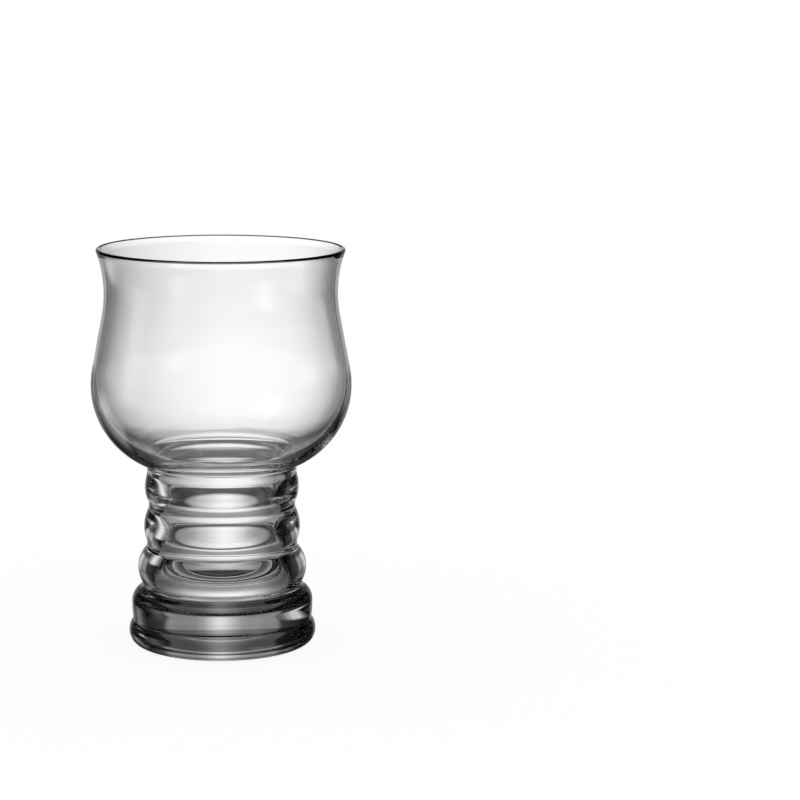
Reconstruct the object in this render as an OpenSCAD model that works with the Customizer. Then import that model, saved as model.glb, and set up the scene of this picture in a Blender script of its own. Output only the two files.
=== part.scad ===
// Tulip beer glass blown in one piece: a flared bowl over a hollow ribbed stem and a thick solid foot.
// Millimetres, +Z up, origin at the middle of the ring that the glass stands on.

/* [Bowl outside] */
// Diameter at the widest line of the belly
belly_d = 89.9; // [76:0.1:106]
// Rise from the crease at the neck to the belly's widest line
belly_rise = 27.93; // [23:0.01:33]
// Rise from the belly's widest line to the waist
waist_rise = 32.2; // [27:0.1:38]
// How far the waist is drawn in from the belly's widest line
waist_in = 4.8; // [3:0.1:6]
// How straight the flank between belly and waist is, from two rounds that meet to a cone
flank_straight = 0.75; // [0:0.05:0.9]
// Share of the flank's rounding that lies at the belly, the rest lies at the waist
flank_low_share = 0.42; // [0.2:0.01:0.8]
// Rise from the waist to the top of the lip
lip_rise = 15.2; // [12:0.1:19]
// Radius of the hollow curve that flares the lip above the waist
flare_curve = 41; // [32:0.5:60]

/* [Bowl wall] */
// Wall through the waist and the lip, which ends in a full round
lip_wall = 1.5; // [1:0.1:2.4]
// Wall at the widest line
belly_wall = 2; // [1.2:0.1:3]
// How far the widest line inside lies above the one outside, which thickens the bowl's bottom
belly_in_lift = 2.6; // [1.6:0.1:3.6]
// How much tighter the belly's round is inside than outside
belly_in_tighter = 1.2; // [0.6:0.1:2]
// Radius of the shoulder where the bowl rolls over into the well
shoulder_curve = 5.5; // [4:0.5:8]

/* [Neck] */
// Diameter of the neck under the bowl
neck_d = 51.8; // [44:0.1:61]
// Rise from the top rib to the neck
neck_rise = 5.5; // [4.5:0.1:6.5]
// Rise from the neck to the crease under the bowl
crease_rise = 2.27; // [1.8:0.01:3]
// Radius of the fillet in the crease
crease_fillet = 0.8; // [0.3:0.1:1.2]

/* [Stem ribs, from the top] */
// How far the top rib stands out past the neck
rib_1_out = 0.3; // [0.1:0.05:1]
// Rise from the first groove to the top rib
rib_1_rise = 6.2; // [5:0.1:7.5]
// How far the first groove goes in behind the top rib
groove_1_in = 1.15; // [0.3:0.05:1.6]
// Rise from the second rib to the first groove
groove_1_rise = 7.8; // [6.4:0.1:9.4]
// How far the second rib stands out past the first groove
rib_2_out = 2.15; // [1.5:0.05:3]
// Rise from the second groove to the second rib
rib_2_rise = 5.7; // [4.6:0.1:6.9]
// How far the second groove goes in behind the second rib
groove_2_in = 0.85; // [0.3:0.05:1.6]
// Rise from the third rib to the second groove
groove_2_rise = 8.4; // [6.9:0.1:10]
// How far the third rib stands out past the second groove
rib_3_out = 3.05; // [2:0.05:4]
// Rise from the third groove to the third rib
rib_3_rise = 5.8; // [4.7:0.1:7]
// How far the third groove goes in behind the third rib
groove_3_in = 1.45; // [0.5:0.05:2]
// Rise from the lowest rib to the third groove
groove_3_rise = 6.4; // [5.2:0.1:7.7]
// How far the lowest rib stands out past the third groove
rib_4_out = 3.5; // [2.5:0.05:4.5]
// Rise from the notch to the lowest rib
rib_4_rise = 6; // [4.9:0.1:7.2]
// Share of each rib's wave that bulges, the rest is hollow
rib_roundness = 0.5; // [0.3:0.01:0.7]

/* [Foot] */
// How far the narrow notch goes in behind the lowest rib
notch_in = 0.35; // [0.2:0.05:1]
// Rise from the foot's widest line to the notch
notch_rise = 4.3; // [3.5:0.1:5.2]
// Share of the notch's two sides that bulges, which leaves the notch tight
notch_roundness = 0.88; // [0.6:0.01:0.95]
// How far the foot's widest line stands out past the notch
foot_out = 1.4; // [0.8:0.1:2]
// Height of the foot's widest line above the table
foot_rise = 4.3; // [3.5:0.1:5.2]
// How far the standing ring's outer edge lies in from the foot's widest line
ring_in = 2.8; // [1.5:0.1:4]
// Width of the flat ring that the glass stands on
ring_w = 2.6; // [1.5:0.1:5]
// Depth of the hollow under the foot
punt_h = 1; // [0.4:0.1:3]

/* [Well in the stem, whose wall follows the ribs] */
// Wall at the neck
neck_wall = 4.9; // [3.5:0.1:6]
// Wall at the top rib
rib_1_wall = 3.9; // [2.8:0.1:5]
// Wall at the first groove
groove_1_wall = 3.9; // [2.8:0.1:5]
// Wall at the second rib
rib_2_wall = 5; // [3.6:0.1:6.4]
// Wall at the second groove
groove_2_wall = 4.7; // [3.4:0.1:6]
// Wall at the third rib, below which the well runs straight down
rib_3_wall = 5.5; // [3.7:0.1:6.5]
// Thickness of the solid base at its middle, from the table to the well's floor
base_h = 17; // [14:0.1:20]
// Radius of the floor's shallow dish
floor_dish_curve = 210; // [120:5:400]
// Radius of the round between the well's wall and its floor
floor_curve = 3.5; // [1.5:0.1:4.5]

/* [Hidden] */

// Steps along the round parts of the section, in degrees
arc_step = 6;
lip_step = 22.5;
dome_step = 1;
// Least swing of a wave, below which its two tips are joined straight
least_swing = 0.01;
// Facets once round, and the direction in towards the axis, in degrees
round_fn = 240;
inward = 180;

// Radii of the stem's bulges and hollows, from the neck down
neck_r = neck_d / 2;
rib_1_r = neck_r + rib_1_out;
groove_1_r = rib_1_r - groove_1_in;
rib_2_r = groove_1_r + rib_2_out;
groove_2_r = rib_2_r - groove_2_in;
rib_3_r = groove_2_r + rib_3_out;
groove_3_r = rib_3_r - groove_3_in;
rib_4_r = groove_3_r + rib_4_out;
notch_r = rib_4_r - notch_in;
foot_r = notch_r + foot_out;
ring_r = foot_r - ring_in;

// Their heights above the table, from the foot up
foot_z = foot_rise;
notch_z = foot_z + notch_rise;
rib_4_z = notch_z + rib_4_rise;
groove_3_z = rib_4_z + groove_3_rise;
rib_3_z = groove_3_z + rib_3_rise;
groove_2_z = rib_3_z + groove_2_rise;
rib_2_z = groove_2_z + rib_2_rise;
groove_1_z = rib_2_z + groove_1_rise;
rib_1_z = groove_1_z + rib_1_rise;
neck_z = rib_1_z + neck_rise;

// Tips of the outline from the foot up to the neck, each as radius and height
tips = [
    [foot_r, foot_z], [notch_r, notch_z],
    [rib_4_r, rib_4_z], [groove_3_r, groove_3_z],
    [rib_3_r, rib_3_z], [groove_2_r, groove_2_z],
    [rib_2_r, rib_2_z], [groove_1_r, groove_1_z],
    [rib_1_r, rib_1_z], [neck_r, neck_z]
];
// The first two waves are the notch's two sides, the rest are the stem's
notch_waves = 2;

// Belly and waist outside and inside, each as radius and height
crease = [neck_r, neck_z + crease_rise];
belly = [belly_d / 2, crease[1] + belly_rise];
waist = belly + [-waist_in, waist_rise];
belly_in = belly + [-belly_wall, belly_in_lift];
waist_inside = waist - [lip_wall, 0];
glass_h = waist[1] + lip_rise;

// Rounds of the bowl: the belly's passes the crease and stands upright at the widest line
belly_curve = norm(belly - crease) ^ 2 / (2 * (belly[0] - crease[0]));
belly_c = belly - [belly_curve, 0];
belly_in_curve = belly_curve - belly_in_tighter;
belly_in_c = belly_in - [belly_in_curve, 0];
flare_c = waist + [flare_curve, 0];

// The well's shoulder touches the bowl's inside and the well's wall at the neck
neck_in_r = neck_r - neck_wall;
shoulder_c = centre_under(belly_in_c, belly_in_curve, neck_in_r + shoulder_curve, shoulder_curve);
// Tips of the well's wall from the neck down, each as radius and height
well_tips = [
    [neck_in_r, min(neck_z, shoulder_c[1])], [rib_1_r - rib_1_wall, rib_1_z],
    [groove_1_r - groove_1_wall, groove_1_z], [rib_2_r - rib_2_wall, rib_2_z],
    [groove_2_r - groove_2_wall, groove_2_z], [rib_3_r - rib_3_wall, rib_3_z]
];
// Angle above level, seen from the flare's centre, of the middle of the lip's round
lip_turn = asin((lip_rise - lip_wall / 2) / (flare_curve + lip_wall / 2));

// Points of an arc after its start, up to and with its end
function arc(centre, curve, from, to, step = arc_step) =
    let (count = max(1, ceil(abs(to - from) / step)))
    [for (i = [1 : count])
        let (turn = from + (to - from) * i / count)
        centre + curve * [cos(turn), sin(turn)]];

// Direction of a vector, in degrees
function heading(way) = atan2(way[1], way[0]);

// Centre of a round at radius r that touches a bigger round from below
function centre_under(big_c, big_curve, r, curve) =
    [r, big_c[1] - sqrt(pow(big_curve + curve, 2) - pow(r - big_c[0], 2))];

// Two arcs from a lower tip to an upper one, one bulging and one hollow, that meet without a corner
function wave(lower, upper, roundness) =
    let (
        swing = abs(upper[0] - lower[0]),
        rise = upper[1] - lower[1],
        radii = (pow(swing, 2) + pow(rise, 2)) / (2 * swing),
        bulges_low = lower[0] > upper[0],
        side = bulges_low ? 1 : -1,
        low_curve = radii * (bulges_low ? roundness : 1 - roundness),
        high_curve = radii - low_curve,
        low_start = bulges_low ? 0 : inward,
        turn = side * 2 * atan2(swing, rise)
    )
    swing < least_swing ? [upper] : concat(
        arc(lower - [side * low_curve, 0], low_curve, low_start, low_start + turn),
        arc(upper + [side * high_curve, 0], high_curve, inward - low_start + turn, inward - low_start)
    );

// The same line from its end back down to the point where it started
function downward(line, start) =
    concat([for (i = [len(line) - 2 : -1 : 0]) line[i]], [start]);

// Flank from a belly's widest line up to a waist: a round, a straight run and a hollow round
function flank(low, high) =
    let (
        swing = low[0] - high[0],
        rise = high[1] - low[1],
        lean = atan2(swing, rise) * (2 - flank_straight),
        radii = (rise * sin(lean) - swing * cos(lean)) / (1 - cos(lean)),
        low_curve = radii * flank_low_share,
        high_curve = radii - low_curve,
        run_end = high + high_curve * [1 - cos(lean), -sin(lean)]
    )
    concat(
        arc(low - [low_curve, 0], low_curve, 0, lean),
        [run_end],
        arc(high + [high_curve, 0], high_curve, inward + lean, inward)
    );

// Round from the standing ring out to the foot's widest line
function foot_line() =
    let (curve = (pow(ring_in, 2) + pow(foot_rise, 2)) / (2 * ring_in))
    concat(
        [[ring_r, 0]],
        arc([foot_r - curve, foot_z], curve, atan2(-foot_rise, curve - ring_in), 0)
    );

// Ribs and grooves from the foot's widest line up to the neck
function stem_line() = [
    for (i = [0 : len(tips) - 2])
        each wave(tips[i], tips[i + 1], i < notch_waves ? notch_roundness : rib_roundness)
];

// Outside of the bowl, from the crease at the neck up to where the lip's round begins
function bowl_line() =
    let (
        fillet_c = centre_under(belly_c, belly_curve, neck_r + crease_fillet, crease_fillet),
        start = heading(fillet_c - belly_c)
    )
    concat(
        [[neck_r, fillet_c[1]]],
        arc(fillet_c, crease_fillet, inward, start + inward, lip_step),
        arc(belly_c, belly_curve, start, 0),
        flank(belly, waist),
        arc(flare_c, flare_curve, inward, inward - lip_turn)
    );

// Full round over the lip
function lip_line() =
    let (middle = flare_c + (flare_curve + lip_wall / 2) * [-cos(lip_turn), sin(lip_turn)])
    arc(middle, lip_wall / 2, -lip_turn, inward - lip_turn, lip_step);

// Inside of the bowl, from the lip down to where it rolls over into the well
function bowl_in_line() = concat(
    arc(flare_c, flare_curve + lip_wall, inward - lip_turn, inward),
    downward(flank(belly_in, waist_inside), belly_in),
    arc(belly_in_c, belly_in_curve, 0, heading(shoulder_c - belly_in_c))
);

// Shoulder, wall and dished floor of the well in the stem, in to the axis
function well_line() =
    let (
        roll = heading(shoulder_c - belly_in_c),
        last = well_tips[len(well_tips) - 1],
        dish_c = [0, base_h + floor_dish_curve],
        floor_c = centre_under(dish_c, -floor_dish_curve, last[0] - floor_curve, floor_curve),
        floor_turn = heading(floor_c - dish_c)
    )
    concat(
        arc(shoulder_c, shoulder_curve, roll + inward, inward),
        shoulder_c[1] > neck_z ? [well_tips[0]] : [],
        [for (i = [1 : len(well_tips) - 1])
            each downward(wave(well_tips[i], well_tips[i - 1], rib_roundness), well_tips[i])],
        [floor_c + [floor_curve, 0]],
        arc(floor_c, floor_curve, 0, floor_turn),
        arc(dish_c, floor_dish_curve, floor_turn, -90, dome_step)
    );

// Shallow hollow under the foot, a dome that dies out at the inner edge of the standing ring
function punt_line() =
    let (
        edge_r = ring_r - ring_w,
        curve = (pow(edge_r, 2) + pow(punt_h, 2)) / (2 * punt_h)
    )
    concat([[0, punt_h]], arc([0, punt_h - curve], curve, 90, acos(edge_r / curve), dome_step));

// Half section of the glass, once round: up the outside, over the lip and down the inside
module section() {
    polygon(concat(
        foot_line(), stem_line(), bowl_line(), lip_line(),
        bowl_in_line(), well_line(), punt_line()
    ));
}

module glass() {
    color([0.90, 0.93, 0.94, 0.45]) rotate_extrude($fn = round_fn) section();
}

glass();
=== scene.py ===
from math import acos, asin, atan2, ceil, cos, degrees, pi, radians, sin, sqrt
import bpy
import bmesh
from mathutils import Matrix


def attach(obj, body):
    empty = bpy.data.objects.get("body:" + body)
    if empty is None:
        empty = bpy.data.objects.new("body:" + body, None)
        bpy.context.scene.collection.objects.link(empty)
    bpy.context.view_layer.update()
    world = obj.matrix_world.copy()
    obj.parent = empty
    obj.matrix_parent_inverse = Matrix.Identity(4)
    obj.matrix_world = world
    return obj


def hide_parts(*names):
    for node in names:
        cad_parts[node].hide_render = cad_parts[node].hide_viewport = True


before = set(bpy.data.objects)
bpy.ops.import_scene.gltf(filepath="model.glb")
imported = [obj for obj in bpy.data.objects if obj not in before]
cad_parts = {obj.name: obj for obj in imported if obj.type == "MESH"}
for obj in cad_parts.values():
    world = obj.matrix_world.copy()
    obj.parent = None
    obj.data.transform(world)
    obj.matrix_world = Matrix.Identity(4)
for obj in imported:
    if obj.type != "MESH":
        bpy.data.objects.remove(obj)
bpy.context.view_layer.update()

mm = 0.001

# Tulip beer glass: the CAD solid's section in millimetres, with its inside and its ribs eased by up to
# about a millimetre so that the stem bends light as in the photograph
glassSize = {
    "bellyRadius": 44.95,       # widest line of the bowl
    "bellyRise": 27.93,         # from the crease up to the widest line
    "waistRise": 32.2,          # from the widest line up to the waist
    "waistIn": 4.8,
    "flankStraight": 0.75,      # share of the flank that is a straight cone
    "flankLowShare": 0.42,      # share of its rounding that lies at the belly
    "lipRise": 15.2,
    "flareCurve": 41,           # hollow curve that flares the lip
    "lipWall": 1.5,
    "bellyWall": 1.55,
    "bellyInLift": 0.95,        # the widest line inside lies this much higher
    "bellyInTighter": 2.8,
    "shoulderCurve": 5.3,       # roll of the bowl's floor into the well
    "throatRadius": 21.8,
    "neckRadius": 25.9,
    "creaseRise": 2.27,
    "creaseFillet": 0.8,
    "waves": [                  # outside, from the neck down: step outwards, drop
        (0.75, 5.5),
        (-1.3, 6.2),
        (1.7, 7.8),
        (-1, 5.7),
        (3.2, 8.4),
        (-1.3, 5.8),
        (3.5, 6.4),
        (-0.35, 6),
        (1.4, 4.3),
    ],
    "well": [                   # inside of the stem, from the throat down: height, radius
        (58.5, 22),
        (54, 21.3),
        (50, 20.3),
        (45, 21.8),
        (41.5, 21.6),
        (37, 21),
        (31, 22.4),
        (24, 23.6),
        (20.5, 24.7),
    ],
    "wellStep": 0.6,
    "ribRoundness": 0.75,
    "notchRoundness": 0.88,
    "notchWaves": 2,            # the lowest two waves are the notch above the foot
    "footRise": 4.3,
    "ringIn": 2.8,
    "ringWidth": 2.6,
    "puntDepth": 1,
    "baseHeight": 17,
    "floorDishCurve": 210,
    "floorCurve": 3.5,
    "arcStep": 4,               # degrees between the points of a round
    "lipStep": 15,
    "puntStep": 2,
    "turns": 192,               # facets once round
    "knurlRise": 2.4,           # fine ribs round the foot: up to here, outside this radius, this deep
    "knurlInside": 28,
    "knurlDepth": 0.2,
    "mergeWithin": 0.001,
}


def arc(centre, curve, start, end, step):
    count = max(1, ceil(abs(end - start) / step))
    points = []
    for i in range(1, count + 1):
        turn = radians(start + (end - start) * i / count)
        points.append((centre[0] + curve * cos(turn), centre[1] + curve * sin(turn)))
    return points


def heading(start, end):
    return degrees(atan2(end[1] - start[1], end[0] - start[0]))


def centreUnder(bigCentre, bigCurve, radius, curve):
    drop = sqrt((bigCurve + curve) ** 2 - (radius - bigCentre[0]) ** 2)
    return (radius, bigCentre[1] - drop)


def wave(lower, upper, roundness, step):
    swing = abs(upper[0] - lower[0])
    if swing < 0.01:
        return [upper]
    rise = upper[1] - lower[1]
    radii = (swing ** 2 + rise ** 2) / (2 * swing)
    bulgesLow = lower[0] > upper[0]
    side = 1 if bulgesLow else -1
    lowCurve = radii * (roundness if bulgesLow else 1 - roundness)
    highCurve = radii - lowCurve
    lowStart = 0 if bulgesLow else 180
    turn = side * 2 * degrees(atan2(swing, rise))
    highEnd = 180 - lowStart
    low = arc((lower[0] - side * lowCurve, lower[1]), lowCurve, lowStart, lowStart + turn, step)
    high = arc((upper[0] + side * highCurve, upper[1]), highCurve, highEnd + turn, highEnd, step)
    return low + high


def flank(low, high, size, step):
    swing = low[0] - high[0]
    rise = high[1] - low[1]
    lean = degrees(atan2(swing, rise)) * (2 - size["flankStraight"])
    leanSin = sin(radians(lean))
    leanCos = cos(radians(lean))
    radii = (rise * leanSin - swing * leanCos) / (1 - leanCos)
    lowCurve = radii * size["flankLowShare"]
    highCurve = radii - lowCurve
    runEnd = (high[0] + highCurve * (1 - leanCos), high[1] - highCurve * leanSin)
    low = arc((low[0] - lowCurve, low[1]), lowCurve, 0, lean, step)
    high = arc((high[0] + highCurve, high[1]), highCurve, 180 + lean, 180, step)
    return low + [runEnd] + high


def smoothLine(tips, spacing):
    # natural cubic curve through (radius, height) tips from the top down, upright at the top
    count = len(tips)
    gaps = [tips[i + 1][1] - tips[i][1] for i in range(count - 1)]
    slopes = [(tips[i + 1][0] - tips[i][0]) / gaps[i] for i in range(count - 1)]
    bends = [0] * count
    shares = [0.5] + [0] * (count - 1)
    rests = [3 * slopes[0] / gaps[0]] + [0] * (count - 1)
    for i in range(1, count - 1):
        pivot = 2 * (gaps[i - 1] + gaps[i]) - gaps[i - 1] * shares[i - 1]
        shares[i] = gaps[i] / pivot
        rests[i] = (6 * (slopes[i] - slopes[i - 1]) - gaps[i - 1] * rests[i - 1]) / pivot
    for i in range(count - 2, -1, -1):
        bends[i] = rests[i] - shares[i] * bends[i + 1]
    points = []
    for i in range(count - 1):
        radius, height = tips[i]
        steps = max(1, ceil(abs(gaps[i]) / spacing))
        start = slopes[i] - gaps[i] * (2 * bends[i] + bends[i + 1]) / 6
        turn = (bends[i + 1] - bends[i]) / (6 * gaps[i])
        for k in range(1, steps + 1):
            far = gaps[i] * k / steps
            points.append((radius + far * start + far ** 2 * bends[i] / 2 + far ** 3 * turn, height + far))
    return points


def downward(line, start):
    return line[-2::-1] + [start]


def sectionLines(size):
    step = size["arcStep"]
    radius = size["neckRadius"]
    height = size["footRise"] + sum(drop for out, drop in size["waves"])
    neck = (radius, height)
    outer = [neck]
    for out, drop in size["waves"]:
        radius += out
        height -= drop
        outer.append((radius, height))
    outer.reverse()
    foot = outer[0]
    ringRadius = foot[0] - size["ringIn"]
    footCurve = (size["ringIn"] ** 2 + foot[1] ** 2) / (2 * size["ringIn"])
    footStart = degrees(atan2(-foot[1], footCurve - size["ringIn"]))
    outside = [(ringRadius, 0)]
    outside += arc((foot[0] - footCurve, foot[1]), footCurve, footStart, 0, step)
    for i in range(len(outer) - 1):
        roundness = size["notchRoundness"] if i < size["notchWaves"] else size["ribRoundness"]
        outside += wave(outer[i], outer[i + 1], roundness, step)
    # bowl outside, over the lip and down inside
    crease = (neck[0], neck[1] + size["creaseRise"])
    belly = (size["bellyRadius"], crease[1] + size["bellyRise"])
    waist = (belly[0] - size["waistIn"], belly[1] + size["waistRise"])
    bellyIn = (belly[0] - size["bellyWall"], belly[1] + size["bellyInLift"])
    waistIn = (waist[0] - size["lipWall"], waist[1])
    reach = belly[0] - crease[0]
    bellyCurve = (reach ** 2 + size["bellyRise"] ** 2) / (2 * reach)
    bellyCentre = (belly[0] - bellyCurve, belly[1])
    innerCurve = bellyCurve - size["bellyInTighter"]
    innerCentre = (bellyIn[0] - innerCurve, bellyIn[1])
    flareCurve = size["flareCurve"]
    flareCentre = (waist[0] + flareCurve, waist[1])
    lipHalf = size["lipWall"] / 2
    lipTurn = degrees(asin((size["lipRise"] - lipHalf) / (flareCurve + lipHalf)))
    lipCentre = (flareCentre[0] - (flareCurve + lipHalf) * cos(radians(lipTurn)),
                 flareCentre[1] + (flareCurve + lipHalf) * sin(radians(lipTurn)))
    fillet = size["creaseFillet"]
    filletCentre = centreUnder(bellyCentre, bellyCurve, neck[0] + fillet, fillet)
    filletEnd = heading(bellyCentre, filletCentre)
    outside.append((neck[0], filletCentre[1]))
    outside += arc(filletCentre, fillet, 180, filletEnd + 180, size["lipStep"])
    outside += arc(bellyCentre, bellyCurve, filletEnd, 0, step)
    outside += flank(belly, waist, size, step)
    outside += arc(flareCentre, flareCurve, 180, 180 - lipTurn, step)
    outside += arc(lipCentre, lipHalf, -lipTurn, 180 - lipTurn, size["lipStep"])
    shoulder = size["shoulderCurve"]
    throat = size["throatRadius"]
    shoulderCentre = centreUnder(innerCentre, innerCurve, throat + shoulder, shoulder)
    roll = heading(innerCentre, shoulderCentre)
    inside = arc(flareCentre, flareCurve + size["lipWall"], 180 - lipTurn, 180, step)
    inside += downward(flank(bellyIn, waistIn, size, step), bellyIn)
    inside += arc(innerCentre, innerCurve, 0, roll, step)
    inside += arc(shoulderCentre, shoulder, roll + 180, 180, step)
    well = [(throat, shoulderCentre[1])] + [(radius, height) for height, radius in size["well"]]
    inside += smoothLine(well, size["wellStep"])
    floorCurve = size["floorCurve"]
    dish = size["floorDishCurve"]
    dishCentre = (0, size["baseHeight"] + dish)
    floorCentre = centreUnder(dishCentre, -dish, well[-1][0] - floorCurve, floorCurve)
    floorTurn = heading(dishCentre, floorCentre)
    if floorCentre[1] < well[-1][1]:
        inside.append((well[-1][0], floorCentre[1]))
    inside += arc(floorCentre, floorCurve, 0, floorTurn, size["lipStep"])
    inside += arc(dishCentre, dish, floorTurn, -90, size["puntStep"])
    # shallow hollow under the foot
    edge = ringRadius - size["ringWidth"]
    puntDepth = size["puntDepth"]
    puntCurve = (edge ** 2 + puntDepth ** 2) / (2 * puntDepth)
    puntEnd = degrees(acos(edge / puntCurve))
    under = [(0, puntDepth)] + arc((0, puntDepth - puntCurve), puntCurve, 90, puntEnd, size["puntStep"])
    return outside, inside, under


def makeGlass(size):
    outside, inside, under = sectionLines(size)
    mesh = bmesh.new()
    last = None
    for radius, height in under + outside + inside:
        vertex = mesh.verts.new((radius * mm, 0, height * mm))
        if last is not None:
            mesh.edges.new((last, vertex))
        last = vertex
    bmesh.ops.spin(mesh, geom=mesh.verts[:] + mesh.edges[:], cent=(0, 0, 0), axis=(0, 0, 1),
                   angle=2 * pi, steps=size["turns"], use_merge=True)
    bmesh.ops.remove_doubles(mesh, verts=mesh.verts, dist=size["mergeWithin"] * mm)
    # every second facet line of the foot's edge is drawn in a little
    for vertex in mesh.verts:
        radius = vertex.co.xy.length
        turn = round((atan2(vertex.co.y, vertex.co.x) + 2 * pi) * size["turns"] / (2 * pi))
        if turn % 2 and vertex.co.z < size["knurlRise"] * mm and radius > size["knurlInside"] * mm:
            vertex.co.xy *= (radius - size["knurlDepth"] * mm) / radius
    bmesh.ops.recalc_face_normals(mesh, faces=mesh.faces)
    for face in mesh.faces:
        face.smooth = True
    return mesh


def addPiece(mesh, name):
    data = bpy.data.meshes.new(name)
    mesh.to_mesh(data)
    mesh.free()
    piece = bpy.data.objects.new(name, data)
    bpy.context.scene.collection.objects.link(piece)
    return piece


# Clear soda-lime glass, slightly uneven from blowing, with chill wrinkles where the bowl meets the stem
finish = {
    "refraction": 1.52,
    "tint": (0.99, 0.99, 0.99, 1),
    "depthColour": (0.9, 0.9, 0.9, 1),
    "depthDensity": 65,         # with the colour above it greys the thick foot and leaves the walls clear
    "waveScale": 60,            # slow waviness, in waves per metre
    "waveDepth": 0.00004,
    "wrinkleScale": (60, 60, 420),
    "wrinkleDepth": 0.00005,
    "wrinkleHeights": (0.0625, 0.065, 0.069, 0.074),   # they fade in and out between these
}


def place(tree, kind, **values):
    item = tree.nodes.new(kind)
    for name, value in values.items():
        setattr(item, name, value)
    return item


def maths(tree, operation, first, second=None, third=None):
    item = place(tree, "ShaderNodeMath", operation=operation)
    for socket, value in zip(item.inputs, (first, second, third)):
        if value is None:
            continue
        if isinstance(value, (int, float)):
            socket.default_value = value
        else:
            tree.links.new(value, socket)
    return item.outputs[0]


def uneven(tree, where, scale, depth, share=None, under=None):
    # one bump layer from noise on the object's own coordinates
    stretch = place(tree, "ShaderNodeMapping")
    stretch.inputs["Scale"].default_value = scale
    noise = place(tree, "ShaderNodeTexNoise")
    noise.inputs["Scale"].default_value = 1
    noise.inputs["Detail"].default_value = 1
    bump = place(tree, "ShaderNodeBump")
    bump.inputs["Distance"].default_value = depth
    tree.links.new(where.outputs["Object"], stretch.inputs["Vector"])
    tree.links.new(stretch.outputs["Vector"], noise.inputs["Vector"])
    tree.links.new(noise.outputs["Fac"], bump.inputs["Height"])
    if share is None:
        bump.inputs["Strength"].default_value = 1
    else:
        tree.links.new(share, bump.inputs["Strength"])
    if under is not None:
        tree.links.new(under, bump.inputs["Normal"])
    return bump.outputs["Normal"]


def clearGlass(finish):
    material = bpy.data.materials.new("clearGlass")
    material.use_nodes = True
    tree = material.node_tree
    shader = tree.nodes["Principled BSDF"]
    shader.inputs["Base Color"].default_value = finish["tint"]
    shader.inputs["Roughness"].default_value = 0
    shader.inputs["IOR"].default_value = finish["refraction"]
    shader.inputs["Transmission Weight"].default_value = 1
    where = place(tree, "ShaderNodeTexCoord")
    parts = place(tree, "ShaderNodeSeparateXYZ")
    tree.links.new(where.outputs["Object"], parts.inputs["Vector"])
    fades = []
    low, lowFull, highFull, high = finish["wrinkleHeights"]
    for none, full in ((low, lowFull), (high, highFull)):
        fade = place(tree, "ShaderNodeMapRange", interpolation_type="SMOOTHSTEP")
        fade.inputs["From Min"].default_value = none
        fade.inputs["From Max"].default_value = full
        tree.links.new(parts.outputs["Z"], fade.inputs["Value"])
        fades.append(fade.outputs["Result"])
    band = maths(tree, "MULTIPLY", fades[0], fades[1])
    slow = uneven(tree, where, (finish["waveScale"],) * 3, finish["waveDepth"])
    wrinkled = uneven(tree, where, finish["wrinkleScale"], finish["wrinkleDepth"], band, slow)
    tree.links.new(wrinkled, shader.inputs["Normal"])
    depth = place(tree, "ShaderNodeVolumeAbsorption")
    depth.inputs["Color"].default_value = finish["depthColour"]
    depth.inputs["Density"].default_value = finish["depthDensity"]
    tree.links.new(depth.outputs["Volume"], tree.nodes["Material Output"].inputs["Volume"])
    return material


# Camera as far and as high as the photograph's
view = {
    "distance": 0.9625,
    "height": 0.2458,
    "yaw": 3.672,
    "pitch": 9.479,
    "roll": 0.334,
    "lens": 126.84,
    "sensorWidth": 36,
}


def addCamera(view):
    data = bpy.data.cameras.new("camera")
    data.sensor_width = view["sensorWidth"]
    data.lens = view["lens"]
    camera = bpy.data.objects.new("camera", data)
    camera.matrix_world = (Matrix.Translation((0, -view["distance"], view["height"]))
                           @ Matrix.Rotation(radians(-view["yaw"]), 4, "Z")
                           @ Matrix.Rotation(radians(90 - view["pitch"]), 4, "X")
                           @ Matrix.Rotation(radians(view["roll"]), 4, "Z"))
    bpy.context.scene.collection.objects.link(camera)
    bpy.context.scene.camera = camera


# Studio: plain white for the eye, and behind the glass one narrow soft panel between dark walls.
# Places are in degrees, sideways from straight ahead and upwards from level; stops are place, brightness
allRound = (-180, 180)
downToUp = (-90, 90)
studio = {
    "panel": {
        "strength": 1.22,
        "sideways": ((-60, 0), (-40, 0.03), (-30, 0.05), (-25, 0.32), (-18, 0.3), (-12, 0.32), (-9, 0.4),
                     (-5, 0.61), (-3, 0.78), (0, 1), (2, 1), (3.5, 0.9), (5, 0.74), (7, 0.54), (9, 0.42),
                     (12, 0.32), (18, 0.3), (25, 0.32), (30, 0.05), (40, 0.03), (60, 0)),
        "upwards": ((-45, 0.05), (-38, 0.1), (-31, 0.2), (-25, 0.12), (-21.5, 0.12), (-19.5, 0.5),
                    (-17.5, 0.88), (-14, 1), (-9, 1), (-6.5, 0.88), (-4, 0.95), (0, 0.92), (4, 0.72),
                    (8, 0.48), (12, 0.36), (20, 0.3), (30, 0.28), (42, 0.2), (60, 0)),
    },
    "table": ((-90, 0.4), (-66, 0.6), (-55, 0.45), (-45, 0.2), (-38, 0)),
    # soft panels for the other sides of the glass: where, from, up to
    "sides": ((-45, -34, -16), (-90, -13, 6), (135, -24, -6)),
    "sideStrength": 0.95,
    "sideWidth": ((0, 1), (4, 1), (8, 0.6), (14, 0.25), (22, 0)),   # stops by the angle from its middle
    "sideFade": 6,
}


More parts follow.
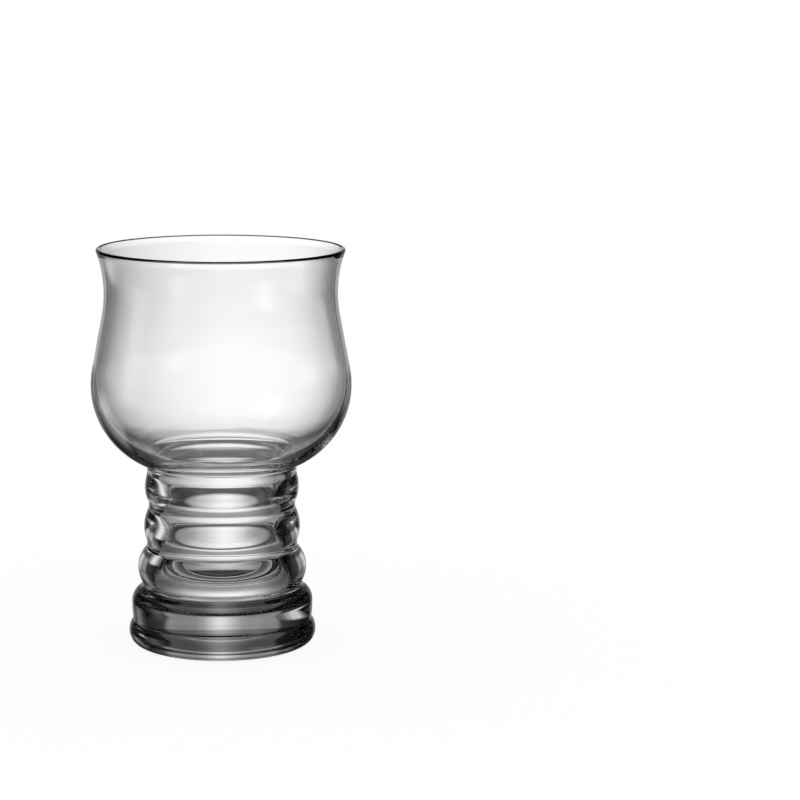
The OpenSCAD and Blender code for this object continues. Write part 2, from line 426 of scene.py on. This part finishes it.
def ramp(tree, source, stops, span):
    # brightness by an angle, with a smooth run from stop to stop
    low, high = span
    fit = place(tree, "ShaderNodeMapRange")
    fit.inputs["From Min"].default_value = low
    fit.inputs["From Max"].default_value = high
    curve = place(tree, "ShaderNodeValToRGB")
    curve.color_ramp.interpolation = "EASE"
    dots = curve.color_ramp.elements
    while len(dots) > 1:
        dots.remove(dots[-1])
    for i, (angle, level) in enumerate(stops):
        spot = (angle - low) / (high - low)
        dot = dots[0] if i == 0 else dots.new(spot)
        dot.position = spot
        dot.color = (level, level, level, 1)
    tree.links.new(source, fit.inputs["Value"])
    tree.links.new(fit.outputs["Result"], curve.inputs["Fac"])
    return curve.outputs["Color"]


def addStudio(studio):
    world = bpy.data.worlds.new("studio")
    world.use_nodes = True
    tree = world.node_tree
    where = place(tree, "ShaderNodeTexCoord")
    parts = place(tree, "ShaderNodeSeparateXYZ")
    tree.links.new(where.outputs["Generated"], parts.inputs["Vector"])
    sideways = maths(tree, "ARCTAN2", parts.outputs["X"], parts.outputs["Y"])
    sideways = maths(tree, "MULTIPLY", sideways, 180 / pi)
    upwards = maths(tree, "ARCSINE", parts.outputs["Z"])
    upwards = maths(tree, "MULTIPLY", upwards, 180 / pi)
    light = ramp(tree, upwards, studio["table"], downToUp)
    panel = studio["panel"]
    glow = maths(tree, "MULTIPLY", ramp(tree, sideways, panel["sideways"], allRound),
                 ramp(tree, upwards, panel["upwards"], downToUp))
    light = maths(tree, "MAXIMUM", light, maths(tree, "MULTIPLY", glow, panel["strength"]))
    back, front = allRound
    fade = studio["sideFade"]
    for spot, low, high in studio["sides"]:
        away = maths(tree, "WRAP", maths(tree, "SUBTRACT", sideways, spot), front, back)
        away = maths(tree, "ABSOLUTE", away)
        across = ramp(tree, away, studio["sideWidth"], (0, front))
        rising = ((low - fade, 0), (low, 1), (high, 1), (high + fade, 0))
        glow = maths(tree, "MULTIPLY", across, ramp(tree, upwards, rising, downToUp))
        light = maths(tree, "MAXIMUM", light, maths(tree, "MULTIPLY", glow, studio["sideStrength"]))
    # the eye and the floor see plain white
    path = place(tree, "ShaderNodeLightPath")
    plain = maths(tree, "MAXIMUM", path.outputs["Is Camera Ray"], path.outputs["Is Diffuse Ray"])
    strength = maths(tree, "MAXIMUM", light, plain)
    tree.links.new(strength, tree.nodes["Background"].inputs["Strength"])
    tree.nodes["Background"].inputs["Color"].default_value = (1, 1, 1, 1)
    bpy.context.scene.world = world


# Floor: a pale disc for the eye alone, missed by the rays that the glass bends or mirrors
ground = {
    "radius": 4,
    "corners": 64,
    "drop": 0.0001,
    "colour": (0.1, 0.1, 0.1, 1),
    "glow": 0.9,
}


def addFloor(ground):
    mesh = bmesh.new()
    bmesh.ops.create_circle(mesh, cap_ends=True, segments=ground["corners"], radius=ground["radius"])
    bmesh.ops.translate(mesh, vec=(0, 0, -ground["drop"]), verts=mesh.verts)
    floor = addPiece(mesh, "floor")
    material = bpy.data.materials.new("paleFloor")
    material.use_nodes = True
    shader = material.node_tree.nodes["Principled BSDF"]
    shader.inputs["Base Color"].default_value = ground["colour"]
    shader.inputs["Roughness"].default_value = 1
    shader.inputs["Specular IOR Level"].default_value = 0
    shader.inputs["Emission Color"].default_value = (1, 1, 1, 1)
    shader.inputs["Emission Strength"].default_value = ground["glow"]
    floor.data.materials.append(material)
    floor.visible_transmission = False
    floor.visible_glossy = False


bounces = 32
scene = bpy.context.scene
scene.view_settings.view_transform = "Standard"
scene.cycles.max_bounces = bounces
scene.cycles.transmission_bounces = bounces
scene.cycles.glossy_bounces = bounces
addCamera(view)
addStudio(studio)
print("camera and studio are in place")
glass = addPiece(makeGlass(glassSize), "beerGlass")
glass.data.materials.append(clearGlass(finish))
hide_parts("glass")
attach(glass, "root")
print("glass has", len(glass.data.polygons), "faces")
addFloor(ground)
print("floor is in place")
